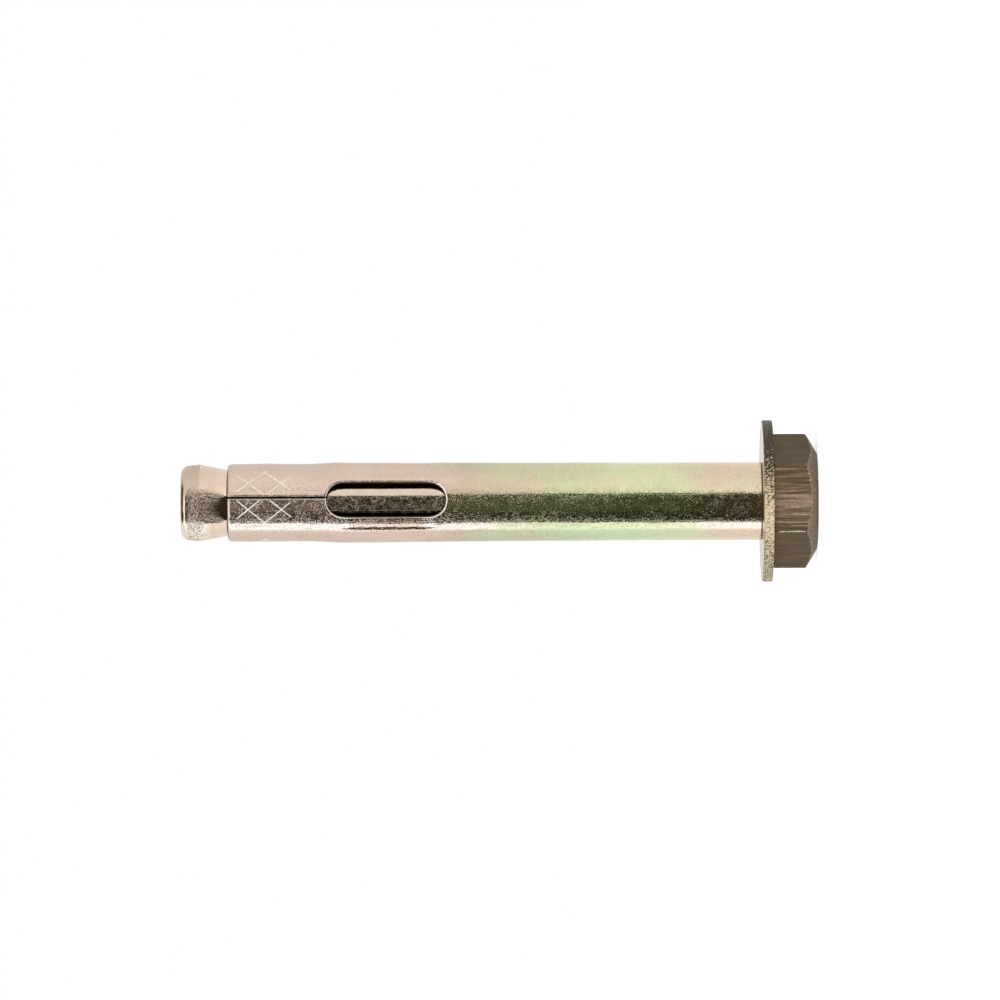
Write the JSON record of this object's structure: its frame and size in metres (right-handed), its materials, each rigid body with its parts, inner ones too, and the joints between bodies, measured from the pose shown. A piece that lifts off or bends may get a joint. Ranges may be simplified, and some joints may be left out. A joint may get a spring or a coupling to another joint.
{
  "type": "sleeve anchor",
  "caption": "Torque-set sleeve anchor for masonry: cone stud inside a slotted rolled sleeve, with washer and hexagon nut.",
  "frame": {"origin": "centre of the nut's outer face, which the anchor stands on", "axes": "+Z along the anchor's axis from the nut to the cone; -Y is the side with the window that the picture shows"},
  "size_m": [0.0236, 0.0236, 0.0926],
  "materials": {
    "stud_steel": "yellow zinc plated",
    "sleeve_steel": "yellow zinc plated",
    "washer_steel": "yellow zinc plated",
    "nut_steel": "dark zinc plated"
  },
  "bodies": {
    "sleeve": {"expansion_sleeve": "sleeve_steel"},
    "stud": {"anchor_stud": "stud_steel"},
    "washer": {"washer": "washer_steel"},
    "nut": {"hex_nut": "nut_steel"}
  },
  "joints": [
    {"name": "nut_turn", "type": "hinge", "parent": "sleeve", "child": "nut", "pos_m": [0, 0, 0.00328], "axis": [0, 0, 1], "range_deg": [-1170, 0]},
    {"name": "stud_advance", "type": "slide", "parent": "sleeve", "child": "stud", "axis": [0, 0, 1], "range_m": [0, 0.0045]},
    {"name": "washer_spin", "type": "hinge", "parent": "sleeve", "child": "washer", "pos_m": [0, 0, 0.0073], "axis": [0, 0, 1], "continuous": true}
  ],
  "couplings": [
    {"joint": "nut_turn", "follows": "stud_advance", "rad_per_m": -4188.8}
  ]
}
